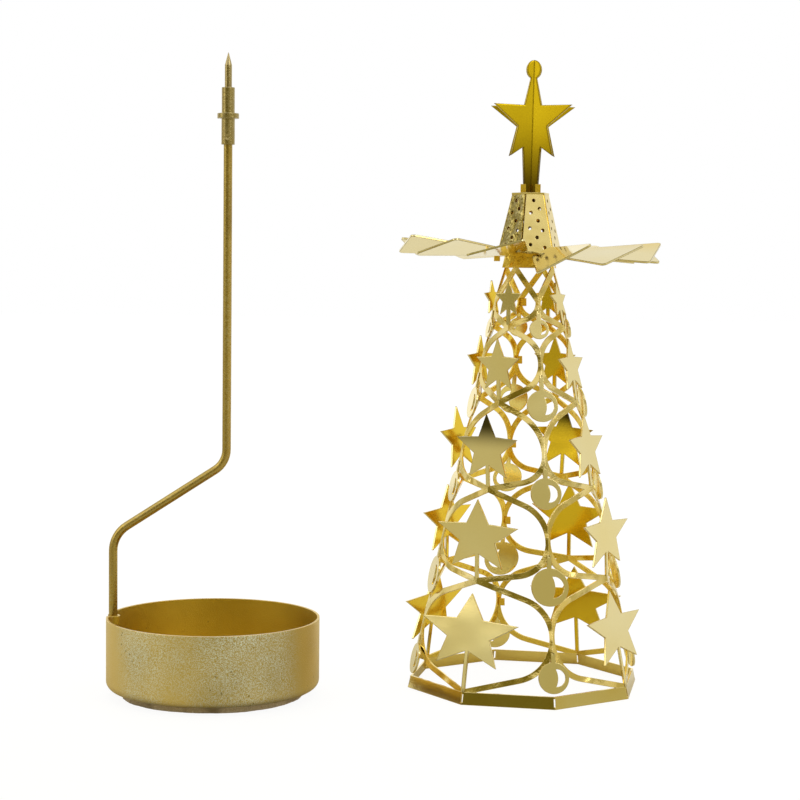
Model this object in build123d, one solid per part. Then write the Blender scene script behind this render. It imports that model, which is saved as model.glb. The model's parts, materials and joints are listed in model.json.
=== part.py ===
from build123d import *
import os
from math import asin, atan, atan2, cos, degrees, hypot, radians, sin, sqrt, tan

# A rotary candle ornament of thin gilt sheet: a tealight cup with a bent rod that ends in a needle,
# and a folded Christmas tree rotor with an impeller, which stands beside it.
# Millimetres. Origin: centre of the cup's foot, on the table. +Z up, -Y towards the viewer.

os.makedirs("parts", exist_ok=True)

# Sheet and general fits
sheet = 0.40                # thickness of the tree's folded sheet
overrun = 1.0               # how far a cutter runs past what it cuts
glue_gap = 0.02             # gap of a glued or crimped joint
lap = 0.10                  # how far a stem or stalk starts inside the strip it grows from

# Candle cup
cup_r = 21.4                # outside radius of the wall
cup_h = 14.1                # from its underside to the rim
cup_wall = 0.45
cup_floor = 0.45
cup_corner_r = 1.6          # outside radius between floor and wall
foot_inset = 2.75           # from the cup's wall to the edge of the foot pad
foot_h = 1.5
foot_edge = 0.25

# Rod and its woven socket in the cup's wall
rod_r = 0.87
rod_inset = 1.2             # from the cup's outside to the axis of the rod's lower leg
rod_fit = 0.08
rod_end_gap = 1.45          # from the cup's floor to the rod's end
needle_x = 2.5              # upper leg, near the candle's wick
rod_slope = 33.0            # slanted run, degrees above level
rod_bend_h = 16.4           # from the rim to the corner of the lower leg and the slanted run
rod_bend_low_r = 6.0
rod_bend_high_r = 5.0
band_rim_h = 1.7            # rim band, pressed inwards round the rod
strap_h = 4.1               # strap, pressed outwards round the rod
band_foot_h = 3.6           # lower band, pressed inwards
socket_slit_h = 0.3         # slits between the bands
socket_slit_w = 3.0

# Ferrule and needle
ferrule_low_z = 110.1
ferrule_low_r = 1.33
ferrule_low_h = 5.15
ferrule_rod_depth = 4.9
flange_h = 0.95
flange_r = 2.15
ferrule_high_r = 1.29
ferrule_high_h = 5.1
needle_seat_gap = 0.6       # from the rod's top to the needle's foot, inside the ferrule
needle_r = 0.71             # where it shows
needle_shank_r = 0.9        # inside the ferrule
needle_straight_h = 4.4     # straight part above the ferrule
needle_cone_h = 2.45
needle_tip_r = 0.06
crimp_h = 1.4               # from the ferrule's lower end to the crimp
crimp_ball_r = 0.9
crimp_depth = 0.2

# Tree: a tapering octagon of lace
tree_x = 63.4
tree_y = 12.1
tree_turn = -123.6          # direction of the first star line, degrees from +X
sides = 8
base_corner_r = 24.5        # corner radius of the octagon at the table
ring_corner_r = 5.77        # corner radius of the octagon at the ring's foot
base_band_z = 2.45          # top of the plain band at the table
ring_low_z = 86.4           # plain ring under the impeller
ring_h = 2.9
strip_w = 1.15              # width of the lace strips
fold_slot_w = 0.40
fold_slot_h = 1.6
fold_slot_low_z = 0.45

# Where the strips of each tier cross the star lines and touch at the bauble lines, top tier first:
# shares of the ring's height
node_z_shares = [1.0, 0.861, 0.686, 0.487, 0.279]
merge_z_shares = [0.919, 0.778, 0.568, 0.372, 0.1585]
# Height between where the straight strips would meet the bauble line and where they touch there,
# above and below each merge: shares of the height between crossing and merge
bend_above_shares = [0.04, 0.471, 0.525, 0.516, 0.510]
bend_below_shares = [0.438, 0.463, 0.658, 0.752, 0.611]

# Stars, top tier first: height of the centre as a share of the ring's height, and half width to an
# arm's tip and height of the upper arm as shares of the base's corner radius
star_z_shares = [0.926, 0.771, 0.581, 0.381, 0.161]
star_rx_shares = [0.131, 0.212, 0.298, 0.400, 0.480]
star_ry_shares = [0.153, 0.229, 0.284, 0.304, 0.320]
star_inner_share = 0.44
star_points = 5
star_follows_slope = [False, False, False, False, True]
# How far each star is bent out about its foot: shares of the height above it, by tier, counter-clockwise
# from the first line
star_lean_shares = [
    (0.0, -0.231, 0.0, 0.087), (0.07, -0.176, 0.0, 0.0),
    (0.07, -0.141, 0.087, 0.141), (0.0, -0.035, 0.0, 0.0),
    (0.052, 0.0, 0.105, 0.087),
]
stalk_w = 0.8

# Baubles, top tier first: shares of the ring's height and of the base's corner radius
bauble_z_shares = [0.8575, 0.6805, 0.481, 0.271, 0.070]
bauble_r_shares = [0.082, 0.131, 0.129, 0.155, 0.1265]
stem_w = 0.9
crescent_r_share = 0.55
crescent_x_share = 0.22
crescent_back_r_share = 1.20
crescent_back_x_share = -0.92

# Tabs that close the lace's seam at one bauble line
seam_side = 4               # counted from the first star line
seam_tab_w = 1.5
seam_tab_h = 1.6

# Impeller
hub_margin = 0.6            # from the tower's foot to the hub's edge
blade_gap = 0.8             # from the hub's edge to the blade's root
blade_len = 18.0            # from the root to the straight tip edge
blade_root_w = 3.8
blade_tip_w = 12.4
blade_corner_r = 0.8
neck_w = 2.6
neck_lap = 3.8              # how far the neck runs on under the blade
blade_turn = -108.8         # direction of the first blade, degrees from +X
# Each blade as bent by hand, counter-clockwise from the first: rise across the blade as a share of its
# width, and rise along it as a share of its reach
blade_bend_shares = [
    (0.254, 0.035), (0.469, -0.073), (0.326, -0.023), (0.326, 0.009), (0.292, 0.0), (0.292, 0.0),
    (0.292, 0.009), (0.292, 0.017), (0.292, 0.035), (0.276, 0.061), (0.269, 0.082), (0.242, 0.047),
]

# Bent tab under the impeller's hub
hub_tab_w = 1.2
hub_tab_h = 1.1
hub_tab_neck_w = 0.5
hub_tab_neck_h = 0.5
hub_tab_inset = 1.1         # from the hub's edge to the tab's inner edge
hub_tab_turn = -168.0

# Tower on the hub: a hexagon of perforated flaps under a top plate
tower_sides = 6
tower_turn = -108.8
tower_low_r = 6.8
tower_high_r = 3.95
tower_h = 11.6              # height of the flaps
flap_sheet = 0.35
flap_seam = 0.22            # half of the open seam between two flaps
flap_hole_r = 0.38
# Holes of a flap: share of its lower half width, share of its height down from the top
flap_hole_shares = [
    (-0.10, 0.107), (0.26, 0.251), (-0.31, 0.321), (0.14, 0.463), (-0.42, 0.593),
    (0.42, 0.630), (0.03, 0.754), (-0.42, 0.880), (0.51, 0.930),
]

# Pivot cup riveted into the hub, which takes the needle
pivot_fit = 0.07            # between the needle and its bore
pivot_wall = 1.02
pivot_h = 4.2
pivot_spigot_r = 1.25       # part that goes through the hub
pivot_spigot_h = 0.3        # how far it shows under the hub
pivot_bore_h = 2.5
pivot_cone_h = 0.6

# Finial: two star plates, each folded along its middle, back to back
finial_half_w = 8.8         # from the fold to the tip of a side arm
finial_neck_h = 23.15       # from the tower's top plate to the neck under the ball
# Outline of a half plate from the stem's foot up to the neck: shares of the half width and of the height
finial_profile_shares = [
    (0.170, 0.0), (0.227, 0.402), (0.540, 0.324), (0.375, 0.583), (1.0, 0.767), (0.216, 0.769),
    (0.082, 1.0),
]
finial_ball_rx = 1.60
finial_ball_rz = 1.90
finial_front_depth = 4.0    # of the front plate, from its fold to the tips of its side arms
finial_rear_depth = 1.83
finial_turn = -3.8          # turn of the whole finial about the tree's axis
finial_lean = 0.8           # lean towards +X
finial_back = 0.20          # from the joint of the two plates to the fold of each
finial_tab_w = 1.1
finial_tab_h = 1.75
finial_tab_x = 1.5
finial_tab_y = 1.2

# Worked out from the values above: stand
cup_in_r = cup_r - cup_wall
cup_rim_z = foot_h + cup_h
foot_r = cup_r - foot_inset
channel_r = rod_r + rod_fit
arch_r = channel_r + cup_wall
rod_x = rod_inset - cup_r
rod_end_z = foot_h + cup_floor + rod_end_gap
rod_bend_z = cup_rim_z + rod_bend_h
band_rim_low_z = cup_rim_z - band_rim_h
strap_high_z = band_rim_low_z - socket_slit_h
strap_low_z = strap_high_z - strap_h
band_foot_high_z = strap_low_z - socket_slit_h
band_foot_low_z = band_foot_high_z - band_foot_h
rod_top_z = ferrule_low_z + ferrule_rod_depth
needle_seat_z = rod_top_z + needle_seat_gap
flange_low_z = ferrule_low_z + ferrule_low_h
flange_high_z = flange_low_z + flange_h
ferrule_high_z = flange_high_z + ferrule_high_h
needle_cone_z = ferrule_high_z + needle_straight_h

# Worked out from the values above: tree
half_angle = 180 / sides
taper = (base_corner_r - ring_corner_r) / ring_low_z
tilt = degrees(atan(taper * cos(radians(half_angle))))
node_z = [share * ring_low_z for share in node_z_shares] + [base_band_z]
merge_z = [share * ring_low_z for share in merge_z_shares]
star_z = [share * ring_low_z for share in star_z_shares]
star_rx = [share * base_corner_r for share in star_rx_shares]
star_ry = [share * base_corner_r for share in star_ry_shares]
bauble_z = [share * ring_low_z for share in bauble_z_shares]
bauble_r = [share * base_corner_r for share in bauble_r_shares]
tiers = len(merge_z)
hub_low_z = ring_low_z + ring_h
hub_high_z = hub_low_z + sheet
hub_r = tower_low_r + hub_margin
hub_tab_r = hub_r - hub_tab_inset
blades = len(blade_bend_shares)
blade_root = hub_r + blade_gap
blade_tip = blade_root + blade_len
neck_end = blade_root + neck_lap
tower_plate_low_z = hub_high_z + tower_h
tower_plate_high_z = tower_plate_low_z + sheet
pivot_bore_r = needle_r + pivot_fit
pivot_r = pivot_bore_r + pivot_wall
finial_ball_z = tower_plate_high_z + finial_neck_h + finial_ball_rz


def corner_r(z):
    """Corner radius of the lace at a height."""
    return base_corner_r - taper * z


def half_side(z):
    """Half the width of one side of the lace at a height."""
    return corner_r(z) * sin(radians(half_angle))


def disc(r, z0, z1, x=0.0, y=0.0):
    """Upright round bar between two heights."""
    return Pos(x, y, z0) * extrude(Circle(r), amount=z1 - z0)


def block(x0, x1, y0, y1, z0, z1):
    """Box between pairs of coordinates."""
    box = Box(x1 - x0, y1 - y0, z1 - z0)
    return Pos((x0 + x1) / 2, (y0 + y1) / 2, (z0 + z1) / 2) * box


def prism(r0, r1, z0, z1, count, turn=0.0):
    """Solid between two regular polygons at two heights, corners first at the given turn."""
    low = Pos(0, 0, z0) * Rot(0, 0, turn) * RegularPolygon(r0, count)
    high = Pos(0, 0, z1) * Rot(0, 0, turn) * RegularPolygon(r1, count)
    return loft([low.face(), high.face()], ruled=True)


def unit(v):
    return v / hypot(v.X, v.Y)


# Candle cup

def arch(z0, z1, inward):
    """Band of the wall pressed round the rod, on its inner or its outer side."""
    body = disc(arch_r, z0, z1, rod_x)
    if inward:
        body = body & block(rod_x, rod_x + arch_r, -arch_r, arch_r, z0, z1)
        return body + block(-cup_r + cup_wall / 2, rod_x, -arch_r, arch_r, z0, z1)
    return body & block(rod_x - arch_r, rod_x, -arch_r, arch_r, z0, z1)


def make_cup():
    outer = disc(cup_r, foot_h, cup_rim_z)
    outer = fillet(outer.edges().sort_by(Axis.Z)[0], cup_corner_r)
    inner = disc(cup_in_r, foot_h + cup_floor, cup_rim_z + overrun)
    inner = fillet(inner.edges().sort_by(Axis.Z)[0], cup_corner_r - cup_floor)
    cup = outer - inner
    for z0, z1, inward in (
        (band_rim_low_z, cup_rim_z, True),
        (strap_low_z, strap_high_z, False),
        (band_foot_low_z, band_foot_high_z, True),
    ):
        cup += arch(z0, z1, inward)
        if inward:
            cup -= block(-cup_r - overrun, rod_x, -channel_r, channel_r, z0, z1)
    slit = socket_slit_w / 2
    for z0, z1 in ((strap_high_z, band_rim_low_z), (band_foot_high_z, strap_low_z)):
        cup -= block(-cup_r - overrun, rod_x + arch_r, -slit, slit, z0, z1)
    return cup - disc(channel_r, rod_end_z - rod_fit, cup_rim_z + overrun, rod_x)


def make_foot_pad():
    pad = disc(foot_r, 0, foot_h)
    return chamfer(pad.edges().sort_by(Axis.Z)[0], foot_edge)


# Rod, ferrule and needle

def make_rod():
    rise = (needle_x - rod_x) * tan(radians(rod_slope))
    path = FilletPolyline(
        (rod_x, 0, rod_end_z),
        (rod_x, 0, rod_bend_z),
        (needle_x, 0, rod_bend_z + rise),
        (needle_x, 0, rod_top_z),
        radius=(rod_bend_low_r, rod_bend_high_r),
    )
    return sweep(Pos(rod_x, 0, rod_end_z) * Circle(rod_r), path=path)


def make_ferrule():
    body = disc(ferrule_low_r, ferrule_low_z, flange_low_z, needle_x)
    body += disc(flange_r, flange_low_z, flange_high_z, needle_x)
    body += disc(ferrule_high_r, flange_high_z, ferrule_high_z, needle_x)
    rod_bore_r = rod_r + glue_gap
    body -= disc(rod_bore_r, ferrule_low_z, rod_top_z, needle_x)
    body -= disc(needle_shank_r + glue_gap, needle_seat_z, ferrule_high_z, needle_x)
    dimple_y = -ferrule_low_r - crimp_ball_r + crimp_depth
    return body - Pos(needle_x, dimple_y, ferrule_low_z + crimp_h) * Sphere(crimp_ball_r)


def make_needle():
    pin = disc(needle_shank_r, needle_seat_z, ferrule_high_z, needle_x)
    pin += disc(needle_r, ferrule_high_z, needle_cone_z, needle_x)
    cone = Cone(needle_r, needle_tip_r, needle_cone_h)
    return pin + Pos(needle_x, 0, needle_cone_z + needle_cone_h / 2) * cone


# Lace of the tree, in its own frame: axis on Z, first star line towards +X

def side_plane(mid_angle):
    """Outer plane of one side, its origin at the table, local Y up the slope."""
    a = radians(mid_angle)
    t = radians(tilt)
    apothem = base_corner_r * cos(radians(half_angle))
    return Plane(
        origin=(apothem * cos(a), apothem * sin(a), 0),
        x_dir=(-sin(a), cos(a), 0),
        z_dir=(cos(a) * cos(t), sin(a) * cos(t), sin(t)),
    )


def on_side(x, z):
    """Point of a side's plane at a height."""
    return Vector(x, z / cos(radians(tilt)))


def strip_arc(tier, upper):
    """Corner data of a half strip: node, leaving direction, start and centre of the arc, merge."""
    bend_share = bend_above_shares[tier] if upper else bend_below_shares[tier]
    z_node = node_z[tier] if upper else node_z[tier + 1]
    z_merge = merge_z[tier]
    node = on_side(-half_side(z_node), z_node)
    merge = on_side(half_side(z_merge), z_merge)
    fold = unit(on_side(half_side(ring_low_z), ring_low_z) - on_side(half_side(0), 0))
    arrive = fold * (-1 if upper else 1)
    tangent = bend_share * abs(merge.Y - node.Y)
    corner = merge - arrive * tangent
    leave = unit(corner - node)
    cross = leave.X * arrive.Y - leave.Y * arrive.X
    turn = abs(atan2(cross, leave.X * arrive.X + leave.Y * arrive.Y))
    radius = tangent / tan(turn / 2)
    start = corner - leave * tangent
    inward = Vector(-leave.Y, leave.X) * (1 if cross > 0 else -1)
    return node, leave, start, start + inward * radius, merge, radius


def half_strip(tier, upper):
    """Flat half strip from a star line to a bauble line: a straight run and an arc."""
    node, leave, start, centre, merge, radius = strip_arc(tier, upper)
    w = strip_w / 2
    side = Vector(-leave.Y, leave.X) * w
    tail = node - leave * overrun
    run = make_face(Polyline(tail + side, start + side, start - side, tail - side, close=True))
    mid = centre + unit((start - centre) + (merge - centre)) * radius
    out, ins = (radius + w) / radius, (radius - w) / radius
    ring = [[centre + (p - centre) * k for p in (start, mid, merge)] for k in (out, ins)]
    bend = make_face([
        ThreePointArc(*ring[0]).edge(),
        Line(ring[0][2], ring[1][2]).edge(),
        ThreePointArc(*reversed(ring[1])).edge(),
        Line(ring[1][0], ring[0][0]).edge(),
    ])
    return run + bend


def wedge(angle0, angle1, z0, z1):
    """Slice of the tree between two fold directions and two heights."""
    far = 2 * base_corner_r
    rim = [(far * cos(radians(a)), far * sin(radians(a))) for a in (angle0, angle1)]
    return Pos(0, 0, z0) * extrude(make_face(Polyline((0, 0), *rim, close=True)), amount=z1 - z0)


def make_panel(index):
    """One side of the lace: a strip that winds between a star line and a bauble line."""
    ribbon = Sketch()
    for tier in range(tiers):
        for upper in (True, False):
            ribbon += half_strip(tier, upper)
    if index % 2:
        ribbon = mirror(ribbon, about=Plane.YZ)
    step = 2 * half_angle
    plane = side_plane(index * step + half_angle)
    plate = extrude(plane * ribbon, amount=-sheet)
    return plate & wedge(index * step, (index + 1) * step, base_band_z, ring_low_z)


def lace_ring(z0, z1):
    """Plain band of the octagon between two heights."""
    inset = sheet / cos(radians(tilt)) / cos(radians(half_angle))
    outer = prism(corner_r(z0), corner_r(z1), z0, z1, sides)
    low, high = z0 - overrun, z1 + overrun
    inner = prism(corner_r(low) - inset, corner_r(high) - inset, low, high, sides)
    return outer - inner


def make_base_band():
    band = lace_ring(0, base_band_z)
    for k in range(sides):
        slot_z = fold_slot_low_z + fold_slot_h
        slot = block(0, base_corner_r + overrun, -fold_slot_w / 2, fold_slot_w / 2, fold_slot_low_z, slot_z)
        band -= Rot(0, 0, k * 2 * half_angle) * slot
    return band


def fold_plane(z, sloping, lean=0.0):
    """Plane across a fold line at a height, local Y up, facing outwards, leaning out by an angle."""
    a = (atan(taper) if sloping else 0.0) - radians(lean)
    return Plane(origin=(corner_r(z), 0, z), x_dir=(0, 1, 0), z_dir=(cos(a), 0, sin(a)))


def star_outline(tier):
    points = []
    for k in range(2 * star_points):
        share = star_inner_share if k % 2 else 1.0
        a = radians(k * 180 / star_points)
        points.append((star_rx[tier] * share * sin(a), star_ry[tier] * share * cos(a)))
    return make_face(Polyline(*points, close=True))


def make_star(tier, lean):
    """Star on its stalk, which grows from the crossing of the strips below it."""
    foot_z = node_z[tier + 1]
    sloping = star_follows_slope[tier]
    slant = cos(atan(taper)) if sloping else 1.0
    leave = strip_arc(tier, False)[1]
    on_band = foot_z == base_band_z
    start = 0.0 if on_band else strip_w / 2 / leave.X - lap
    middle = (star_z[tier] - foot_z) / slant
    notch = middle - star_ry[tier] * star_inner_share
    stalk = Pos(0, (start + notch + lap) / 2) * Rectangle(stalk_w, notch + lap - start)
    flat = Pos(0, middle) * star_outline(tier) + stalk
    star = extrude(fold_plane(foot_z, sloping, lean) * flat, amount=-sheet)
    return star - panels[0] - panels[sides - 1] - base_band


def merge_notch(tier):
    """Height at which two mirrored half strips part below their merge."""
    radius = strip_arc(tier, False)[5]
    return merge_z[tier] - sqrt(strip_w * radius) * cos(radians(tilt))


def make_bauble(tier):
    """Flat bauble with a crescent cut-out on a stem from the merge above it."""
    r = bauble_r[tier]
    lean = cos(atan(taper))
    top = (merge_notch(tier) - bauble_z[tier]) / lean + 2 * lap
    cut = Pos(crescent_x_share * r, 0) * Circle(crescent_r_share * r)
    cut -= Pos(crescent_back_x_share * r, 0) * Circle(crescent_back_r_share * r)
    stem = Pos(0, (r - lap + top) / 2) * Rectangle(stem_w, top - r + lap)
    flat = Circle(r) - cut + stem
    hung = Rot(0, 0, 2 * half_angle) * extrude(fold_plane(bauble_z[tier], True) * flat, amount=-sheet)
    return hung - panels[0] - panels[1]


def placed(shape):
    """From the tree's own frame to where it stands."""
    return Pos(tree_x, tree_y, 0) * Rot(0, 0, tree_turn) * shape


def place_on_axis(shape):
    return Pos(tree_x, tree_y, 0) * shape


def make_seam_tab(tier, side_index):
    """Tab of one side, bent over the inner face of the next at a merge."""
    z = merge_z[tier]
    x = half_side(z)
    outline = Pos(x - seam_tab_w / 2, z / cos(radians(tilt))) * Rectangle(seam_tab_w, seam_tab_h)
    if side_index % 2:
        outline = mirror(outline, about=Plane.YZ)
    step = 2 * half_angle
    plane = side_plane(side_index * step + half_angle).offset(-sheet)
    tab = extrude(plane * outline, amount=-sheet)
    return tab & wedge(side_index * step, (side_index + 1) * step, base_band_z, ring_low_z)


# Impeller, hub tab, tower, pivot and finial, about the tree's axis

def make_blade(pitch, lift):
    """Blade along +X: a flat neck and a pitched wedge with a straight tip edge."""
    mid_z = hub_low_z + sheet / 2
    outline = make_face(Polyline(
        (blade_root, -blade_root_w / 2), (blade_tip, -blade_tip_w / 2),
        (blade_tip, blade_tip_w / 2), (blade_root, blade_root_w / 2), close=True,
    ))
    outline = fillet(outline.vertices(), blade_corner_r)
    blade = Pos(0, 0, -sheet / 2) * extrude(outline, amount=sheet)
    neck_in = hub_r * cos(radians(180 / blades)) - overrun
    neck = block(neck_in, neck_end, -neck_w / 2, neck_w / 2, -sheet / 2, sheet / 2)
    blade = Rot(pitch, 0, 0) * blade + neck
    return Pos(hub_r, 0, mid_z) * Rot(0, -lift, 0) * Pos(-hub_r, 0, 0) * blade


def make_impeller():
    body = prism(hub_r, hub_r, hub_low_z, hub_high_z, blades)
    for k, (across, along) in enumerate(blade_bend_shares):
        blade = make_blade(degrees(asin(across)), degrees(atan(along)))
        body += Rot(0, 0, (2 * k + 1) * 180 / blades) * blade
    body -= disc(pivot_spigot_r + glue_gap, hub_low_z - overrun, hub_high_z + overrun)
    return Rot(0, 0, blade_turn - 180 / blades) * body


def make_hub_tab():
    neck_low = hub_low_z - hub_tab_neck_h
    mid = hub_tab_r + hub_tab_w / 2
    half = hub_tab_neck_w / 2
    tab = block(mid - half, mid + half, -sheet / 2, sheet / 2, neck_low, hub_low_z)
    plate_low = neck_low - hub_tab_h
    tab += block(hub_tab_r, hub_tab_r + hub_tab_w, -sheet / 2, sheet / 2, plate_low, neck_low)
    return Rot(0, 0, hub_tab_turn) * tab


def make_flap(index):
    """One perforated flap of the tower, between the hub and the top plate."""
    mid = 180 / tower_sides
    apothems = [r * cos(radians(mid)) for r in (tower_low_r, tower_high_r)]
    halves = [r * sin(radians(mid)) - flap_seam for r in (tower_low_r, tower_high_r)]
    lean = atan((apothems[0] - apothems[1]) / tower_h)
    plane = Plane(origin=(apothems[0], 0, hub_high_z), x_dir=(0, 1, 0), z_dir=(cos(lean), 0, sin(lean)))
    high = tower_h / cos(lean)
    spread = (halves[0] - halves[1]) / high
    ends = [(halves[0] + spread * overrun, -overrun), (halves[1] - spread * overrun, high + overrun)]
    outline = make_face(Polyline(
        (-ends[0][0], ends[0][1]), ends[0], ends[1], (-ends[1][0], ends[1][1]), close=True,
    ))
    for x_share, down_share in flap_hole_shares:
        outline -= Pos(x_share * halves[0], high * (1 - down_share)) * Circle(flap_hole_r)
    flap = extrude(plane * outline, amount=-flap_sheet)
    flap &= block(0, tower_low_r + overrun, -tower_low_r, tower_low_r, hub_high_z, tower_plate_low_z)
    return Rot(0, 0, tower_turn + (2 * index + 1) * mid) * flap


def make_top_plate():
    plate = prism(tower_high_r, tower_high_r, tower_plate_low_z, tower_plate_high_z, tower_sides)
    return Rot(0, 0, tower_turn) * plate


def make_pivot():
    low_z = hub_low_z - pivot_spigot_h
    body = disc(pivot_r, hub_high_z, low_z + pivot_h)
    body += disc(pivot_spigot_r, low_z, hub_high_z)
    body -= disc(pivot_bore_r, low_z, low_z + pivot_bore_h)
    cone = Cone(pivot_bore_r, needle_tip_r, pivot_cone_h)
    return body - Pos(0, 0, low_z + pivot_bore_h + pivot_cone_h / 2) * cone


def finial_wing():
    """Half of a star plate in the XZ plane: stem, two whole arms, half the upper arm and the ball."""
    low_z = tower_plate_high_z
    profile = [(w * finial_half_w, low_z + h * finial_neck_h) for w, h in finial_profile_shares]
    outline = make_face(Polyline(
        (0, low_z - overrun), (profile[0][0], low_z - overrun),
        *profile, (profile[-1][0], finial_ball_z), (0, finial_ball_z), close=True,
    ))
    ball = Pos(0, finial_ball_z) * Ellipse(finial_ball_rx, finial_ball_rz)
    ball &= Pos(finial_ball_rx, finial_ball_z) * Rectangle(2 * finial_ball_rx, 2 * finial_ball_rz)
    plane = Plane(origin=(0, sheet / 2, 0), x_dir=(1, 0, 0), z_dir=(0, -1, 0))
    return extrude(plane * (outline + ball), amount=sheet)


def make_finial(front):
    """Star plate folded along its middle, its wings drawn away from the other plate."""
    fold = degrees(asin((finial_front_depth if front else finial_rear_depth) / finial_half_w))
    wing = finial_wing()
    far = finial_ball_z
    plate = Rot(0, 0, -fold) * wing
    plate += mirror(plate, about=Plane.YZ)
    plate = Pos(0, -finial_back, 0) * plate
    plate &= block(-far, far, -far, 0, 0, 2 * far)
    if not front:
        plate = mirror(plate, about=Plane.XZ)
    plate = Pos(0, 0, tower_plate_high_z) * Rot(0, finial_lean, 0) * Pos(0, 0, -tower_plate_high_z) * plate
    plate &= block(-far, far, -far, far, tower_plate_high_z, 2 * far)
    return Rot(0, 0, finial_turn) * plate


def make_finial_tab(side):
    x0 = side * finial_tab_x
    half = finial_tab_w / 2
    high = tower_plate_high_z + finial_tab_h
    tab = block(x0 - half, x0 + half, -finial_tab_y - sheet, -finial_tab_y, tower_plate_high_z, high)
    return Rot(0, 0, finial_turn) * tab


# Stand
export_step(make_cup(), "parts/candle_cup.step")
export_step(make_foot_pad(), "parts/foot_pad.step")
export_step(make_rod(), "parts/support_rod.step")
export_step(make_ferrule(), "parts/needle_ferrule.step")
export_step(make_needle(), "parts/needle.step")

# Lace
base_band = make_base_band()
export_step(placed(base_band), "parts/base_band.step")
export_step(placed(lace_ring(ring_low_z, hub_low_z)), "parts/top_ring.step")
panels = [make_panel(k) for k in range(sides)]
for k in range(sides):
    export_step(placed(panels[k]), f"parts/lace_side_{k + 1}.step")

# Stars stand on the even fold lines and baubles hang from the odd ones
for tier in range(tiers):
    leans = [degrees(atan(share)) for share in star_lean_shares[tier]]
    stars = [Rot(0, 0, 4 * half_angle * k) * make_star(tier, lean) for k, lean in enumerate(leans)]
    export_step(placed(Compound(children=stars)), f"parts/stars_tier_{tier + 1}.step")
    hung = make_bauble(tier)
    baubles = [Rot(0, 0, 4 * half_angle * k) * hung for k in range(sides // 2)]
    export_step(placed(Compound(children=baubles)), f"parts/baubles_tier_{tier + 1}.step")

tabs = [make_seam_tab(tier, seam_side) for tier in range(tiers)]
export_step(placed(Compound(children=tabs)), "parts/seam_tabs.step")

# Rotor head
export_step(place_on_axis(make_impeller()), "parts/impeller.step")
export_step(place_on_axis(make_hub_tab()), "parts/hub_tab.step")
export_step(place_on_axis(make_top_plate()), "parts/tower_top_plate.step")
for k in range(tower_sides):
    export_step(place_on_axis(make_flap(k)), f"parts/tower_flap_{k + 1}.step")
export_step(place_on_axis(make_pivot()), "parts/pivot_cup.step")
export_step(place_on_axis(make_finial(True)), "parts/finial_front.step")
export_step(place_on_axis(make_finial(False)), "parts/finial_rear.step")
finial_tabs = [make_finial_tab(side) for side in (-1, 1)]
export_step(place_on_axis(Compound(children=finial_tabs)), "parts/finial_tabs.step")
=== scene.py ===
import json
from math import cos, pi, radians, sin

import bpy
import numpy as np
from mathutils import Matrix, Vector


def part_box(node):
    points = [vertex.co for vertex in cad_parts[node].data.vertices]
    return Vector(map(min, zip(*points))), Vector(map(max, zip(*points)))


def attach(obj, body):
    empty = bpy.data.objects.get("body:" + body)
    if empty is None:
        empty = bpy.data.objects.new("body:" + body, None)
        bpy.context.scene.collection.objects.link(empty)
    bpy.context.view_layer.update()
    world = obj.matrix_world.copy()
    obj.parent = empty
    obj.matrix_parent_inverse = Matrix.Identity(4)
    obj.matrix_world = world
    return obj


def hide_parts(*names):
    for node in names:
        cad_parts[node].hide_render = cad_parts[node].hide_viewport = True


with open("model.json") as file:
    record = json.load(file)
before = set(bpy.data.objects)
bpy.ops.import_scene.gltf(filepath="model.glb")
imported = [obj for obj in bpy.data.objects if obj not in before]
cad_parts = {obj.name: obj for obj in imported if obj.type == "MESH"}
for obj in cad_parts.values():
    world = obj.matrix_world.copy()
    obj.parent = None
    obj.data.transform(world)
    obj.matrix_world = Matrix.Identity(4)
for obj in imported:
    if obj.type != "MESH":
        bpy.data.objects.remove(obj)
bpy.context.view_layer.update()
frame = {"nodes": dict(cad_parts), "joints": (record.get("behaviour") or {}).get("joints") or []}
mm = 0.001

print("stage 1: camera")
photoCamera = {
    "lookAt": (37.14, 0.0, 59.74),      # point at the middle of the picture, mm
    "distance": 380.0,                  # mm
    "lookDown": 3.9,                    # degrees
    "roll": 0.64,                       # degrees, turns the picture about its middle
    "lens": 85.5,                       # mm, on the sensor below
    "sensor": 36.0,
    "nearest": 0.01,                    # m
}


def placeCamera(look):
    cam = bpy.data.objects.new("photoCamera", bpy.data.cameras.new("photoCamera"))
    bpy.context.scene.collection.objects.link(cam)
    cam.data.lens = look["lens"]
    cam.data.sensor_width = look["sensor"]
    cam.data.clip_start = look["nearest"]
    down = radians(look["lookDown"])
    back = Vector((0.0, -cos(down), sin(down))) * look["distance"]
    spot = (Vector(look["lookAt"]) + back) * mm
    turn = Matrix.Rotation(pi / 2 - down, 4, "X") @ Matrix.Rotation(radians(look["roll"]), 4, "Z")
    cam.matrix_world = Matrix.Translation(spot) @ turn
    bpy.context.scene.camera = cam


placeCamera(photoCamera)

print("stage 2: shared shader groups")


def newGroup(name, inputs, outputs):
    group = bpy.data.node_groups.new(name, "ShaderNodeTree")
    for label, kind, value in inputs:
        socket = group.interface.new_socket(name=label, in_out="INPUT", socket_type=kind)
        if value is not None:
            socket.default_value = value
    for label, kind in outputs:
        group.interface.new_socket(name=label, in_out="OUTPUT", socket_type=kind)
    return group, group.nodes.new("NodeGroupInput"), group.nodes.new("NodeGroupOutput")


def addNode(tree, kind, **values):
    node = tree.nodes.new(kind)
    for key, value in values.items():
        setattr(node, key, value)
    return node


def feed(tree, socket, value):
    # A number, a colour or another socket into one input
    if isinstance(value, bpy.types.NodeSocket):
        tree.links.new(value, socket)
    elif socket.type == "RGBA":
        socket.default_value = (*value, 1.0)
    else:
        socket.default_value = value


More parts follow.
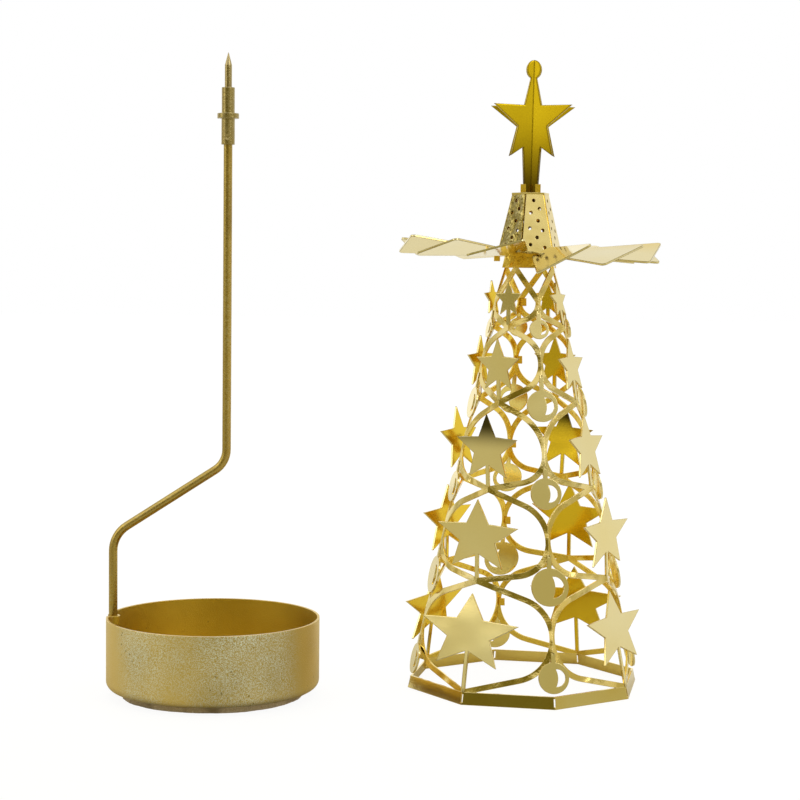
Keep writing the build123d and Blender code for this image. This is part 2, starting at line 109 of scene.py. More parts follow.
def addMath(tree, operation, first, second=0.0, clamp=False):
    node = addNode(tree, "ShaderNodeMath", operation=operation, use_clamp=clamp)
    feed(tree, node.inputs[0], first)
    feed(tree, node.inputs[1], second)
    return node.outputs[0]


def addVector(tree, operation, first, second=(0.0, 0.0, 0.0)):
    node = addNode(tree, "ShaderNodeVectorMath", operation=operation)
    feed(tree, node.inputs[0], first)
    feed(tree, node.inputs[1], second)
    return node.outputs["Value" if operation == "DOT_PRODUCT" else "Vector"]


def addRise(tree, value, start, gain):
    # 0 up to start, then climbing by gain for each unit of value, 1 at most
    return addMath(tree, "MULTIPLY", addMath(tree, "SUBTRACT", value, start), gain, clamp=True)


def addFade(tree, value, start, end, first=0.0, last=1.0):
    # Smooth step of value: first at start, last at end
    node = addNode(tree, "ShaderNodeMapRange", interpolation_type="SMOOTHSTEP")
    feed(tree, node.inputs["Value"], value)
    for label, number in (("From Min", start), ("From Max", end), ("To Min", first), ("To Max", last)):
        node.inputs[label].default_value = number
    return node.outputs[0]


def addNoise(tree, place, scale, detail=2.0, distortion=0.0):
    node = addNode(tree, "ShaderNodeTexNoise")
    feed(tree, node.inputs["Vector"], place)
    feed(tree, node.inputs["Scale"], scale)
    node.inputs["Detail"].default_value = detail
    node.inputs["Distortion"].default_value = distortion
    return node.outputs[0]


def addBump(tree, height, strength, distance, normal=None):
    node = addNode(tree, "ShaderNodeBump")
    node.inputs["Strength"].default_value = strength
    node.inputs["Distance"].default_value = distance
    feed(tree, node.inputs["Height"], height)
    if normal is not None:
        feed(tree, node.inputs["Normal"], normal)
    return node.outputs[0]


def objectPlace(tree):
    return addNode(tree, "ShaderNodeTexCoord").outputs["Object"]


def splitPlace(tree, place):
    node = addNode(tree, "ShaderNodeSeparateXYZ")
    feed(tree, node.inputs[0], place)
    return node.outputs


def mixColour(tree, share, first, second):
    # first where share is 0, second where it is 1
    node = addNode(tree, "ShaderNodeMix", data_type="RGBA", clamp_factor=True)
    for slot, value in ((0, share), (6, first), (7, second)):
        feed(tree, node.inputs[slot], value)
    return node.outputs[2]


def placeGroup(tree, group, **values):
    node = addNode(tree, "ShaderNodeGroup", node_tree=group)
    for key, value in values.items():
        node.inputs[key].default_value = value
    return node.outputs


edgeLook = {
    "samples": 6,           # of the rounded normal
    "gain": 5.0,            # how soon its turn counts as an edge
}


def buildEdgeGroup(look):
    # Mask of the sheet's cut edges: 1 less the dot product of a rounded normal with the face's own
    group, given, out = newGroup("cutEdge", [("Width", "NodeSocketFloat", 0.0002)],
                                 [("Mask", "NodeSocketFloat"), ("Normal", "NodeSocketVector")])
    bevel = addNode(group, "ShaderNodeBevel", samples=look["samples"])
    feed(group, bevel.inputs["Radius"], given.outputs["Width"])
    own = addNode(group, "ShaderNodeNewGeometry").outputs["Normal"]
    turned = addMath(group, "SUBTRACT", 1.0, addVector(group, "DOT_PRODUCT", bevel.outputs[0], own))
    feed(group, out.inputs["Mask"], addMath(group, "MULTIPLY", turned, look["gain"], clamp=True))
    feed(group, out.inputs["Normal"], bevel.outputs[0])
    return group


waveLook = {
    "dentDetail": 2.0,
    "grainDetail": 4.0,
    "grainScale": 2500.0,   # per metre
}


def buildWaveGroup(look):
    # Height of a plated sheet: slow dents from bending plus a share of a fine rolling grain
    group, given, out = newGroup("sheetWaves",
                                 [("Dents", "NodeSocketFloat", 90.0), ("Grain Share", "NodeSocketFloat", 0.1)],
                                 [("Height", "NodeSocketFloat"), ("Patch", "NodeSocketFloat")])
    place = objectPlace(group)
    dents = addNoise(group, place, given.outputs["Dents"], look["dentDetail"])
    grain = addNoise(group, place, look["grainScale"], look["grainDetail"])
    fine = addMath(group, "MULTIPLY", grain, given.outputs["Grain Share"])
    feed(group, out.inputs["Height"], addMath(group, "ADD", dents, fine))
    feed(group, out.inputs["Patch"], dents)
    return group


speckLook = {
    "scale": 900.0,         # cells per metre, one speck in each at most
    "size": 0.22,           # share of a cell
    "sharpness": 9.0,
    "patchScale": 130.0,    # the specks keep to patches
    "patchFrom": 0.56,
    "patchGain": 12.0,
}


def buildSpeckGroup(look):
    # Tarnish spots: dots at the points of a cell pattern, where a slow noise is high
    group, given, out = newGroup("tarnishSpecks", [("Amount", "NodeSocketFloat", 0.3)], [("Mask", "NodeSocketFloat")])
    place = objectPlace(group)
    cells = addNode(group, "ShaderNodeTexVoronoi")
    feed(group, cells.inputs["Vector"], place)
    cells.inputs["Scale"].default_value = look["scale"]
    near = addMath(group, "SUBTRACT", look["size"], cells.outputs["Distance"])
    dots = addMath(group, "MULTIPLY", near, look["sharpness"], clamp=True)
    patch = addRise(group, addNoise(group, place, look["patchScale"]), look["patchFrom"], look["patchGain"])
    both = addMath(group, "MULTIPLY", dots, patch)
    feed(group, out.inputs["Mask"], addMath(group, "MULTIPLY", both, given.outputs["Amount"], clamp=True))
    return group


innerLook = {
    "gain": 8.0,            # how soon a face counts as looking inwards
}


def buildInnerGroup(look):
    # Mask of the faces that look at an upright axis, which get a painted reflection: their normal against the level way
    # out from the axis
    group, given, out = newGroup("innerSide", [("Axis", "NodeSocketVector", None)], [("Mask", "NodeSocketFloat")])
    place = addNode(group, "ShaderNodeTexCoord")
    away = addVector(group, "SUBTRACT", place.outputs["Object"], given.outputs["Axis"])
    outwards = addVector(group, "NORMALIZE", addVector(group, "MULTIPLY", away, (1.0, 1.0, 0.0)))
    facing = addVector(group, "DOT_PRODUCT", outwards, place.outputs["Normal"])
    feed(group, out.inputs["Mask"], addMath(group, "MULTIPLY", facing, -look["gain"], clamp=True))
    return group


cutEdge = buildEdgeGroup(edgeLook)
sheetWaves = buildWaveGroup(waveLook)
tarnishSpecks = buildSpeckGroup(speckLook)
innerSide = buildInnerGroup(innerLook)


def newMaterial(name, metallic, roughness):
    material = bpy.data.materials.new(name)
    material.use_nodes = True
    tree = material.node_tree
    shader = tree.nodes["Principled BSDF"]
    shader.inputs["Metallic"].default_value = metallic
    shader.inputs["Roughness"].default_value = roughness
    return material, tree, shader


print("stage 3: materials")
treeAxis = next(joint["pos_m"] for joint in frame["joints"] if joint["name"] == "tree_spin")
# face and tone are the two golds of the outer side, tone a painted reflection in patches that follow the dents; inner
# is a painted deeper gold on the side towards the axis, for gold mirrored in gold; edge the cut edges and width how far
# these reach, m; dents per metre, their depth in m and bump strength; grain is the grain's share
platedFinishes = {
    "lacePlate": {
        "face": (0.86, 0.72, 0.33), "dentReflectionGold": (0.82, 0.62, 0.18), "inner": (0.88, 0.63, 0.09),
        # the lace's cut edges are a paler gold, a painted highlight along them
        "edge": (0.94, 0.80, 0.42), "width": 0.00010,
        "rough": 0.09, "dents": 78.0, "depth": 0.0034, "bump": 1.0, "grain": 0.01,
    },
    "bandPlate": {
        "face": (0.84, 0.70, 0.30), "dentReflectionGold": (0.80, 0.62, 0.20), "inner": (0.93, 0.73, 0.20),
        "edge": (0.90, 0.74, 0.34), "width": 0.00012,
        "rough": 0.10, "dents": 90.0, "depth": 0.001, "bump": 0.16, "grain": 0.05,
    },
    "ornamentPlate": {
        "face": (0.85, 0.73, 0.36), "dentReflectionGold": (0.83, 0.69, 0.30), "inner": (0.86, 0.59, 0.03),
        "edge": (0.40, 0.28, 0.08), "width": 0.00018,
        "rough": 0.12, "dents": 55.0, "depth": 0.001, "bump": 0.20, "grain": 0.01,
    },
    "baublePlate": {
        "face": (0.85, 0.73, 0.36), "dentReflectionGold": (0.83, 0.69, 0.30), "inner": (0.97, 0.80, 0.26),
        "edge": (0.46, 0.34, 0.12), "width": 0.00015,
        "rough": 0.12, "dents": 55.0, "depth": 0.001, "bump": 0.20, "grain": 0.01,
    },
    "impellerPlate": {
        "face": (0.86, 0.75, 0.41), "dentReflectionGold": (0.84, 0.71, 0.33), "inner": (0.86, 0.62, 0.12),
        "edge": (0.12, 0.075, 0.012), "width": 0.00026,
        "rough": 0.10, "dents": 70.0, "depth": 0.001, "bump": 0.10, "grain": 0.01,
    },
    "towerPlate": {
        "face": (0.82, 0.66, 0.25), "dentReflectionGold": (0.78, 0.61, 0.20), "inner": (0.80, 0.54, 0.10),
        "edge": (0.62, 0.50, 0.22), "width": 0.00010,
        "rough": 0.10, "dents": 160.0, "depth": 0.001, "bump": 0.10, "grain": 0.03,
    },
    # painted shade: the tower's plating with its golds darkened on this creased flap, for the shade and dark
    # reflections in its creases; the creases themselves are real
    "creasedShadedPlate": {
        "face": (0.46, 0.38, 0.14), "dentReflectionGold": (0.26, 0.20, 0.05), "inner": (0.80, 0.54, 0.10),
        "edge": (0.40, 0.24, 0.05), "width": 0.00010,
        "rough": 0.08, "dents": 520.0, "depth": 0.002, "bump": 0.45, "grain": 0.10,
    },
    "collarPlate": {
        "face": (0.90, 0.66, 0.13), "dentReflectionGold": (0.74, 0.48, 0.05), "inner": (0.90, 0.66, 0.13),
        "edge": (0.50, 0.32, 0.05), "width": 0.00010,
        "rough": 0.10, "dents": 210.0, "depth": 0.0022, "bump": 1.0, "grain": 0.02,
    },
    "tabPlate": {
        "face": (0.96, 0.72, 0.10), "dentReflectionGold": (0.90, 0.60, 0.06), "inner": (0.90, 0.60, 0.06),
        "edge": (0.70, 0.44, 0.05), "width": 0.00010,
        "rough": 0.34, "dents": 300.0, "depth": 0.001, "bump": 0.40, "grain": 0.05,
    },
    "finialPlate": {
        "face": (0.84, 0.61, 0.015), "dentReflectionGold": (0.78, 0.54, 0.012), "inner": (0.84, 0.61, 0.015),
        "edge": (0.10, 0.06, 0.005), "width": 0.00038,
        "rough": 0.22, "dents": 60.0, "depth": 0.001, "bump": 0.06, "grain": 0.02,
    },
}
platingShares = {
    # painted reflection: the darker gold lies in random patches where the dents' noise is low
    "toneFrom": 0.40,       # level of the dents' noise where tone turns into face
    "toneGain": 3.5,
    "haze": 0.06,           # roughness that follows the dents
    "clear": 0.03,          # taken off the roughness for it
}


def platedMaterial(name, look, shares):
    # Mirror plating over thin sheet: dents bend the reflections and carry a darker gold in patches, a painted
    # reflection; the side towards the axis has a painted deeper gold, for gold mirrored in gold
    material, tree, shader = newMaterial(name, 1.0, look["rough"])
    waves = placeGroup(tree, sheetWaves, **{"Dents": look["dents"], "Grain Share": look["grain"]})
    edge = placeGroup(tree, cutEdge, Width=look["width"])
    inner = placeGroup(tree, innerSide, Axis=treeAxis)
    # Painted reflection: a darker gold in random patches that follow the dents
    dentReflection = addRise(tree, waves["Patch"], shares["toneFrom"], shares["toneGain"])
    outer = mixColour(tree, dentReflection, look["dentReflectionGold"], look["face"])
    # Painted reflection: a deeper gold on the faces towards the axis, for gold mirrored in gold
    sided = mixColour(tree, inner["Mask"], outer, look["inner"])
    feed(tree, shader.inputs["Base Color"], mixColour(tree, edge["Mask"], sided, look["edge"]))
    haze = addMath(tree, "MULTIPLY", waves["Patch"], shares["haze"])
    clear = look["rough"] - shares["clear"]
    feed(tree, shader.inputs["Roughness"], addMath(tree, "ADD", haze, clear, clamp=True))
    feed(tree, shader.inputs["Normal"], addBump(tree, waves["Height"], look["bump"], look["depth"], edge["Normal"]))
    return material


def tintOver(material, mask, colour):
    # Lays one more colour over a finished material, where mask is 1
    tree = material.node_tree
    base = tree.nodes["Principled BSDF"].inputs["Base Color"]
    feed(tree, base, mixColour(tree, mask, base.links[0].from_socket, colour))


stemDarkening = {
    "colour": (0.075, 0.042, 0.003),
    "end": 0.60,            # share of the finial's height where it has faded out
    "most": 0.93,
}


def darkenStem(material, look):
    # Brown, strongest at the stem's foot and fading up into the star
    tree = material.node_tree
    low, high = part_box("finial_front")
    height = splitPlace(tree, objectPlace(tree))["Z"]
    end = low.z + (high.z - low.z) * look["end"]
    tintOver(material, addFade(tree, height, low.z, end, look["most"], 0.0), look["colour"])


# Painted dark reflection on the third tier's stars: their tops fade to dark brown
starDarkReflection = {
    "colour": (0.040, 0.031, 0.003),
    "side": -123.6,         # degrees round the axis of the star that has it; the one opposite has it too
    "start": 0.0076,        # m below the tip, where it begins
    "full": 0.0020,         # m below the tip, where it is full
    "most": 0.97,
    "clearOf": 0.0080,      # the tier's other two stars stay within this of the axis along that line, m
    "reach": 0.0095,        # m from the axis along that line, where the tint is full
}


def paintStarDarkReflection(material, node, look):
    # Painted dark reflection: dark brown over the tops of the two stars that stand on one line through the axis
    tree = material.node_tree
    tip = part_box(node)[1].z
    turn = radians(look["side"])
    place = objectPlace(tree)
    away = addVector(tree, "SUBTRACT", place, treeAxis)
    along = addMath(tree, "ABSOLUTE", addVector(tree, "DOT_PRODUCT", away, (cos(turn), sin(turn), 0.0)))
    high = addFade(tree, splitPlace(tree, place)["Z"], tip - look["start"], tip - look["full"])
    far = addFade(tree, along, look["clearOf"], look["reach"])
    mask = addMath(tree, "MULTIPLY", addMath(tree, "MULTIPLY", high, far), look["most"])
    tintOver(material, mask, look["colour"])


finishes = {name: platedMaterial(name, look, platingShares) for name, look in platedFinishes.items()}
# A copy of the ornament plating for the third tier, which carries the stars' painted dark reflection
finishes["darkReflectionStarPlate"] = platedMaterial("darkReflectionStarPlate", platedFinishes["ornamentPlate"], platingShares)
darkenStem(finishes["finialPlate"], stemDarkening)
paintStarDarkReflection(finishes["darkReflectionStarPlate"], "stars_tier_3", starDarkReflection)

# face is the gold, pale the silvery grains, dark the tarnish, inner a painted shade and reflection on the side towards
# the cup's axis, rim the edges; grain and cloud per metre; worn is for a piece whose front alone has a painted
# highlight of silvery grains: where that starts and where it is full, m in front of the cup's axis, and how far the
# gold between the grains darkens
satinFinishes = {
    "cupSatin": {
        "face": (0.74, 0.54, 0.15), "pale": (0.88, 0.93, 0.80), "dark": (0.24, 0.17, 0.04),
        "inner": (0.66, 0.48, 0.06), "rim": (0.82, 0.60, 0.18),
        "rough": 0.38, "grain": 5200.0, "bump": 0.40, "specks": 0.80, "cloud": 42.0,
        # painted highlight: the cup's front gets silvery grains, with the gold between them darkened, for the sheen of
        # a lamp in front
        "paintedFrontHighlight": {"start": 0.0095, "full": 0.0165, "mottle": 0.38},
    },
    "rodSatin": {
        "face": (0.50, 0.35, 0.08), "pale": (0.52, 0.42, 0.17), "dark": (0.20, 0.12, 0.03),
        "inner": (0.44, 0.32, 0.08), "rim": (0.52, 0.42, 0.17),
        "rough": 0.30, "grain": 3000.0, "bump": 0.14, "specks": 0.35, "cloud": 90.0,
    },
    "ferruleSatin": {
        "face": (0.38, 0.29, 0.10), "pale": (0.52, 0.45, 0.24), "dark": (0.16, 0.10, 0.03),
        "inner": (0.38, 0.29, 0.10), "rim": (0.52, 0.45, 0.24),
        "rough": 0.28, "grain": 3600.0, "bump": 0.20, "specks": 0.80, "cloud": 260.0,
    },
    "needleSatin": {
        "face": (0.42, 0.33, 0.14), "pale": (0.58, 0.50, 0.30), "dark": (0.20, 0.12, 0.04),
        "inner": (0.42, 0.33, 0.14), "rim": (0.58, 0.50, 0.30),
        "rough": 0.26, "grain": 3600.0, "bump": 0.12, "specks": 0.35, "cloud": 300.0,
    },
    "pivotSatin": {
        "face": (0.46, 0.34, 0.11), "pale": (0.56, 0.46, 0.22), "dark": (0.20, 0.12, 0.03),
        "inner": (0.46, 0.34, 0.11), "rim": (0.56, 0.46, 0.22),
        "rough": 0.30, "grain": 3200.0, "bump": 0.12, "specks": 0.30, "cloud": 200.0,
    },
}
satinShares = {
    "detail": 3.0,          # of the grain and of the patches of silvery grains
    "fleckFrom": 0.42,
    "fleckGain": 5.0,
    "patchScale": 60.0,     # per metre
    "patchFrom": 0.24,
    "patchGain": 2.4,
    "dullFrom": 0.46,       # where a slow noise lays tarnish over all
    "dullGain": 1.6,
    "haze": 0.12,           # roughness that follows the grains
    "clear": 0.05,          # taken off the roughness for it
    "rimWidth": 0.0002,     # m
    "grainDepth": 0.0002,   # m
}


def satinMaterial(name, look, shares):
    # Satin brass: silvery and golden grains side by side, tarnish in patches and specks, bright edges, a painted deeper
    # gold on faces towards the cup's axis, and where given a painted highlight of silvery grains on the front
    material, tree, shader = newMaterial(name, 1.0, look["rough"])
    place = objectPlace(tree)
    grain = addNoise(tree, place, look["grain"], shares["detail"])
    patch = addNoise(tree, place, shares["patchScale"], shares["detail"])
    fleck = addRise(tree, grain, shares["fleckFrom"], shares["fleckGain"])
    area = addRise(tree, patch, shares["patchFrom"], shares["patchGain"])
    ground = look["face"]
    # Painted highlight: the silvery grains keep to the front, towards -Y, with the gold between them darkened
    if "paintedFrontHighlight" in look:
        paintedFrontHighlight = look["paintedFrontHighlight"]
        front = addMath(tree, "MULTIPLY", splitPlace(tree, place)["Y"], -1.0)
        area = addMath(tree, "MULTIPLY", area, addFade(tree, front, paintedFrontHighlight["start"], paintedFrontHighlight["full"]))
        ground = mixColour(tree, addMath(tree, "MULTIPLY", area, paintedFrontHighlight["mottle"]), look["face"], look["dark"])
    pale = mixColour(tree, addMath(tree, "MULTIPLY", fleck, area), ground, look["pale"])
    dull = addRise(tree, addNoise(tree, place, look["cloud"]), shares["dullFrom"], shares["dullGain"])
    clouded = mixColour(tree, dull, pale, look["dark"])
    # Painted shade and reflection: a deeper gold on the faces towards the cup's axis
    inner = placeGroup(tree, innerSide, Axis=(0.0, 0.0, 0.0))
    sided = mixColour(tree, inner["Mask"], clouded, look["inner"])
    specks = placeGroup(tree, tarnishSpecks, Amount=look["specks"])
    spotted = mixColour(tree, specks["Mask"], sided, look["dark"])
    edge = placeGroup(tree, cutEdge, Width=shares["rimWidth"])
    feed(tree, shader.inputs["Base Color"], mixColour(tree, edge["Mask"], spotted, look["rim"]))
    haze = addMath(tree, "MULTIPLY", fleck, shares["haze"])
    clear = look["rough"] - shares["clear"]
    feed(tree, shader.inputs["Roughness"], addMath(tree, "ADD", haze, clear, clamp=True))
    feed(tree, shader.inputs["Normal"], addBump(tree, grain, look["bump"], shares["grainDepth"], edge["Normal"]))
    return material


finishes.update((name, satinMaterial(name, look, satinShares)) for name, look in satinFinishes.items())
# The first start of a node's name that fits gives its finish
finishByName = (
    ("base_band", "bandPlate"), ("top_ring", "collarPlate"),
    ("finial_tabs", "tabPlate"), ("seam_tabs", "tabPlate"), ("hub_tab", "tabPlate"),
    ("lace", "lacePlate"), ("stars_tier_3", "darkReflectionStarPlate"), ("stars", "ornamentPlate"), ("baubles", "baublePlate"),
    ("impeller", "impellerPlate"), ("tower_flap_6", "creasedShadedPlate"), ("tower", "towerPlate"),
    ("finial", "finialPlate"), ("candle_cup", "cupSatin"), ("support_rod", "rodSatin"),
    ("needle_ferrule", "ferruleSatin"), ("needle", "needleSatin"), ("pivot_cup", "pivotSatin"),
    ("foot_pad", "rodSatin"),
)
for name, node in frame["nodes"].items():
    node.data.materials.clear()
    node.data.materials.append(finishes[next(finish for start, finish in finishByName if name.startswith(start))])

print("stage 4: felt pad under the cup")
feltPad = {
    "edgeWobble": 0.35,     # how ragged the cut edge is, mm
    "rounding": 0.30,       # of the edge's corners, mm
    "topDroop": 0.04,       # how far the top's edge rises and falls, and how far the top is sunk to allow it, mm
    "edgeWaves": (2, 3, 5, 9, 14, 23, 37, 61, 97),      # waves round the edge
    "topWaves": (3, 7, 19, 41, 83),
    "focus": 6,             # power that keeps both at the edge
    "aroundSteps": 360,
    "edgeSteps": 10,
    "faceSteps": 14,
    "firstRing": 0.02,      # share of the flat's radius
    "seed": 11,
}


def raggedCircle(angles, seed, waves, reach):
    # Sum of sines of count times the angle with random phases, longer waves stronger, scaled to reach
    rng = np.random.default_rng(seed)
    total = np.zeros_like(angles)
    for count in waves:
        total += np.sin(count * angles + rng.uniform(0, 2 * pi)) * rng.uniform(0.4, 1.0) / count ** 0.45
    return total / np.abs(total).max() * reach


def gridFaces(rows, columns):
    # Quads between neighbouring rings, closed round the last column, facing out
    row, column = np.meshgrid(np.arange(rows - 1), np.arange(columns), indexing="ij")
    after = (column + 1) % columns
    corners = ((row + 1) * columns + column, (row + 1) * columns + after, row * columns + after, row * columns + column)
    return np.stack(corners, axis=-1).reshape(-1, 4)


def buildFeltPad(look):
    # A disc turned round Z: its section runs from the centre of the top over a rounded edge to the centre of the
    # underside; the radius wobbles with the angle, weighted by the share of the radius to a power
    low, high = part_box("foot_pad")
    radius = (high.x - low.x) / 2 / mm
    thick = (high.z - low.z) / mm
    angles = np.linspace(0, 2 * pi, look["aroundSteps"], endpoint=False)
    shares = np.linspace(look["firstRing"], 1.0, look["faceSteps"])
    flat = radius - look["rounding"] - look["edgeWobble"]
    turn = np.linspace(pi / 2, -pi / 2, look["edgeSteps"])
    edgeR = flat + look["rounding"] * np.cos(turn)
    edgeZ = np.where(turn > 0, thick - look["rounding"], look["rounding"]) + look["rounding"] * np.sin(turn)
    sectionR = np.concatenate([shares * flat, edgeR[1:-1], shares[::-1] * flat])
    sectionZ = np.concatenate([np.full(shares.size, thick), edgeZ[1:-1], np.zeros(shares.size)])
    wobble = raggedCircle(angles, look["seed"], look["edgeWaves"], look["edgeWobble"])
    ripple = raggedCircle(angles, look["seed"] + 1, look["topWaves"], look["topDroop"])
    weight = np.clip(sectionR / radius, 0, 1)[:, None] ** look["focus"]
    upper = (sectionZ > thick / 2)[:, None]
    r = sectionR[:, None] + wobble * weight
    z = np.clip(sectionZ[:, None] + ripple * weight * upper - look["topDroop"], 0.0, None)
    ring = np.stack([r * np.cos(angles), r * np.sin(angles), z], axis=-1).reshape(-1, 3)
    poles = np.array([[0.0, 0.0, thick - look["topDroop"]], [0.0, 0.0, 0.0]])
    points = np.concatenate([ring, poles]) * mm
    rows, columns = sectionR.size, angles.size
    step = np.arange(columns)
    after = (step + 1) % columns
    topPole = np.full(columns, rows * columns)
    last = (rows - 1) * columns
    top = np.stack([topPole, step, after], axis=-1)
    under = np.stack([topPole + 1, last + after, last + step], axis=-1)
    mesh = bpy.data.meshes.new("feltPad")
    mesh.from_pydata(points.tolist(), [], gridFaces(rows, columns).tolist() + top.tolist() + under.tolist())
    mesh.shade_smooth()
    pad = bpy.data.objects.new("feltPad", mesh)
    bpy.context.scene.collection.objects.link(pad)
    return pad


feltFinish = {
    "fibre": (0.66, 0.51, 0.33),
    "dust": (0.86, 0.74, 0.56),
    "soot": (0.40, 0.30, 0.18),
    "rough": 0.95,
    "sheen": 0.35,
    "fibreScale": 2600.0,   # per metre
    "fibreDetail": 5.0,
    "tangle": 1.6,
    "dustFrom": 0.45,
    "dustGain": 4.0,
    "sootScale": 220.0,     # per metre
    "sootFrom": 0.48,
    "sootGain": 5.0,
    "bump": 0.9,
    "depth": 0.0002,        # m
}


def feltMaterial(look):
    # Pressed felt: tangled fibres as a distorted noise, dust on the high ones, patches of soot
    material, tree, shader = newMaterial("pressedFelt", 0.0, look["rough"])
    shader.inputs["Sheen Weight"].default_value = look["sheen"]
    place = objectPlace(tree)
    fibre = addNoise(tree, place, look["fibreScale"], look["fibreDetail"], look["tangle"])
    dusty = mixColour(tree, addRise(tree, fibre, look["dustFrom"], look["dustGain"]), look["fibre"], look["dust"])
    sooty = addRise(tree, addNoise(tree, place, look["sootScale"]), look["sootFrom"], look["sootGain"])
    feed(tree, shader.inputs["Base Color"], mixColour(tree, sooty, dusty, look["soot"]))
    feed(tree, shader.inputs["Normal"], addBump(tree, fibre, look["bump"], look["depth"]))
    return material


pad = buildFeltPad(feltPad)
pad.data.materials.append(feltMaterial(feltFinish))
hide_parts("foot_pad")
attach(pad, "stand")

print("stage 5: floor and light")
paperSweep = {
    "size": 6.0,                        # m
    "dim": (0.43, 0.40, 0.25),          # paper towards the front left, as the plating mirrors it
    "bright": (0.76, 0.75, 0.71),       # paper behind and to the right
    "line": (0.6, 0.8, 0.0),            # direction from dim to bright
    "from": -0.22,                      # where along it the change starts, m
    "to": 0.30,
    "rough": 0.7,
    "seenWhite": 1.08,                  # what the camera sees of the paper
    "seenShare": 0.86,
}


def buildFloor(look):
    # A square of paper; its tone runs along one line, and the camera sees it lighter than the plating does
    half = look["size"] / 2
    corners = [(-half, -half, 0.0), (half, -half, 0.0), (half, half, 0.0), (-half, half, 0.0)]
    mesh = bpy.data.meshes.new("floor")
    mesh.from_pydata(corners, [], [(0, 1, 2, 3)])
    floor = bpy.data.objects.new("floor", mesh)
    bpy.context.scene.collection.objects.link(floor)
    material, tree, shader = newMaterial("paperSweep", 0.0, look["rough"])
    along = addVector(tree, "DOT_PRODUCT", objectPlace(tree), look["line"])
    run = addFade(tree, along, look["from"], look["to"])
    feed(tree, shader.inputs["Base Color"], mixColour(tree, run, look["dim"], look["bright"]))
    white = addNode(tree, "ShaderNodeEmission")
    white.inputs["Strength"].default_value = look["seenWhite"]
    seen = addNode(tree, "ShaderNodeLightPath").outputs["Is Camera Ray"]
    blend = addNode(tree, "ShaderNodeMixShader")
    feed(tree, blend.inputs[0], addMath(tree, "MULTIPLY", seen, look["seenShare"]))
    feed(tree, blend.inputs[1], shader.outputs[0])
    feed(tree, blend.inputs[2], white.outputs[0])
    feed(tree, tree.nodes["Material Output"].inputs["Surface"], blend.outputs[0])
    mesh.materials.append(material)


studioSky = {
    # Brightness round the horizon: degrees from the camera's side towards +X, and value
    "horizon": (
        (-180, 1.10), (-150, 1.12), (-125, 1.00), (-110, 0.85), (-97, 0.50), (-82, 0.60), (-65, 0.64),
        (-50, 0.64), (-34, 0.32), (-19, 0.16), (-2, 0.26), (28, 0.50), (50, 0.70), (62, 0.62), (73, 0.54),
        (90, 0.76), (117, 0.88), (148, 0.95), (165, 1.10), (180, 1.10),
    ),
    "overhead": 0.90,                   # value of the light above
    "overheadFrom": 0.30,               # sine of the height above the horizon
    "overheadTo": 0.43,
    "edgeDark": 0.45,                   # dark edge of the paper low at both sides of the front
    "edgeSides": (0.70, 1.22, 0.20),    # radians from the front: start, end and softness
    "edgeHeights": (-0.2, 0.025, 0.03),     # sines of the height: start, end and softness
    "greenBase": 0.85,                  # green is the value times a share: this plus greenGain times the value
    "greenGain": 0.17,
    "blueGain": 1.15,                   # blue is the value times this times the value; both shares 1 at most
}


def windowOf(tree, value, low, high, soft):
    # 1 between low and high, falling to 0 over soft on both sides
    rise = addFade(tree, value, low - soft, low)
    return addMath(tree, "MULTIPLY", rise, addFade(tree, value, high + soft, high))


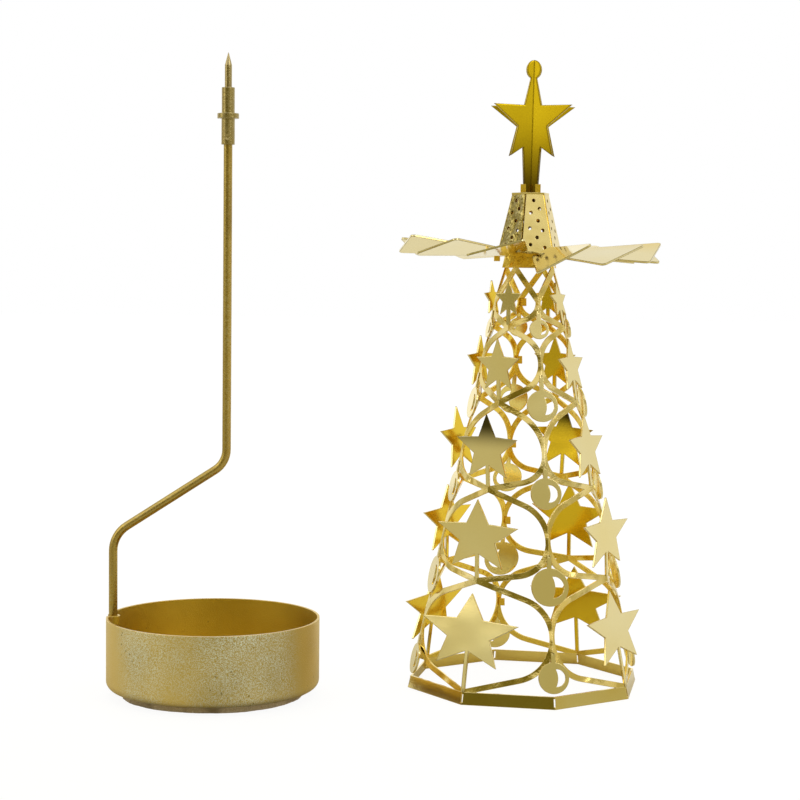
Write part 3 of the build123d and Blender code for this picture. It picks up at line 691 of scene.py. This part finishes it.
def buildSky(look):
    # Brightness by direction: a ramp round the horizon, an overhead light above it, a dark paper edge low in
    # front; dim parts are warm, and the camera sees plain white
    world = bpy.data.worlds.new("studioSky")
    world.use_nodes = True
    bpy.context.scene.world = world
    tree = world.node_tree
    way = splitPlace(tree, addNode(tree, "ShaderNodeTexCoord").outputs["Generated"])
    angle = addMath(tree, "ARCTAN2", way["X"], addMath(tree, "MULTIPLY", way["Y"], -1.0))
    ramp = addNode(tree, "ShaderNodeValToRGB")
    ramp.color_ramp.interpolation = "EASE"
    stops = ramp.color_ramp.elements
    while len(stops) > 1:
        stops.remove(stops[-1])
    for index, (degree, value) in enumerate(look["horizon"]):
        share = (degree + 180) / 360
        stop = stops.new(share) if index else stops[0]
        stop.position = share
        stop.color = (value, value, value, 1.0)
    feed(tree, ramp.inputs[0], addMath(tree, "ADD", addMath(tree, "DIVIDE", angle, 2 * pi), 0.5))
    whole = addNode(tree, "ShaderNodeMix", data_type="FLOAT")
    feed(tree, whole.inputs[0], addFade(tree, way["Z"], look["overheadFrom"], look["overheadTo"]))
    feed(tree, whole.inputs[2], ramp.outputs[0])
    whole.inputs[3].default_value = look["overhead"]
    sides = windowOf(tree, addMath(tree, "ABSOLUTE", angle), *look["edgeSides"])
    low = windowOf(tree, way["Z"], *look["edgeHeights"])
    dark = addMath(tree, "MULTIPLY", addMath(tree, "MULTIPLY", sides, low), 1.0 - look["edgeDark"])
    red = addMath(tree, "MULTIPLY", whole.outputs[0], addMath(tree, "SUBTRACT", 1.0, dark))
    warmGreen = addMath(tree, "ADD", addMath(tree, "MULTIPLY", red, look["greenGain"]), look["greenBase"])
    warmBlue = addMath(tree, "MULTIPLY", red, look["blueGain"])
    light = addNode(tree, "ShaderNodeCombineXYZ")
    feed(tree, light.inputs[0], red)
    for slot, share in ((1, warmGreen), (2, warmBlue)):
        feed(tree, light.inputs[slot], addMath(tree, "MULTIPLY", red, addMath(tree, "MINIMUM", share, 1.0)))
    seen = addNode(tree, "ShaderNodeLightPath").outputs["Is Camera Ray"]
    sky = tree.nodes["Background"]
    feed(tree, sky.inputs["Color"], mixColour(tree, seen, light.outputs[0], (1.0, 1.0, 1.0)))
    sky.inputs["Strength"].default_value = 1.0


# Places and sizes in m, power in W; an unmirrored lamp lights the piece without showing in its plating
middle = (0.037, 0.0, 0.06)
softLamps = {
    "topLamp": {"spot": (0.05, 0.20, 0.90), "target": (0.04, 0.05, 0.0), "size": (1.0, 0.9), "power": 2.7,
                "mirrored": False},
    "keyLamp": {"spot": (0.60, -0.50, 0.55), "target": middle, "size": (0.35, 0.5), "power": 1.2,
                "mirrored": True},
    "sideLamp": {"spot": (-0.70, -0.25, 0.40), "target": middle, "size": (0.3, 0.6), "power": 0.8,
                 "mirrored": True},
}


def addLamp(name, look):
    lamp = bpy.data.lights.new(name, "AREA")
    lamp.shape = "RECTANGLE"
    lamp.size, lamp.size_y = look["size"]
    lamp.energy = look["power"]
    body = bpy.data.objects.new(name, lamp)
    bpy.context.scene.collection.objects.link(body)
    body.location = look["spot"]
    body.rotation_euler = (Vector(look["target"]) - Vector(look["spot"])).to_track_quat("-Z", "Y").to_euler()
    body.visible_glossy = look["mirrored"]


buildFloor(paperSweep)
buildSky(studioSky)
for name, look in softLamps.items():
    addLamp(name, look)
bpy.context.scene.view_settings.view_transform = "Standard"

print("stage 6: finish")
